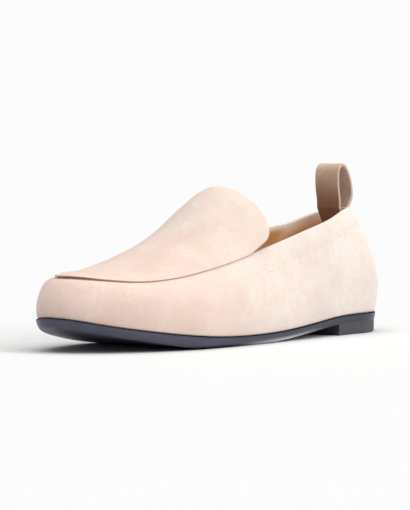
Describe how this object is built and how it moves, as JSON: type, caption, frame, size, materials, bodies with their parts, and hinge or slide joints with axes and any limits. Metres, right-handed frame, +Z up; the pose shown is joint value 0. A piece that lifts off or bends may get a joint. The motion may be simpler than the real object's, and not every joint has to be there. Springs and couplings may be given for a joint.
{
  "type": "loafer",
  "caption": "Low suede slip-on loafer with an apron front that ends in a free tongue flap, a thin dark sole, a low heel block and a pull loop at the heel.",
  "frame": {"origin": "on the floor, under the middle of the shoe's box", "axes": "+X from the heel to the toe, +Y to the lateral (outer) side, +Z up"},
  "size_m": [0.2482, 0.0798, 0.0914],
  "materials": {
    "suede": "blush suede with a fine nap",
    "apron_suede": "blush suede with a fine nap and a raw cut edge",
    "loop_suede": "taupe suede with pale raw edges",
    "sole": "smooth satin edge",
    "heel_block": "matte",
    "sock_leather": "smooth tan lining leather"
  },
  "bodies": {
    "root": {"upper": "suede", "apron": "apron_suede", "pull_loop": "loop_suede", "outsole": "sole", "heel": "heel_block", "insole": "sock_leather"}
  },
  "joints": []
}
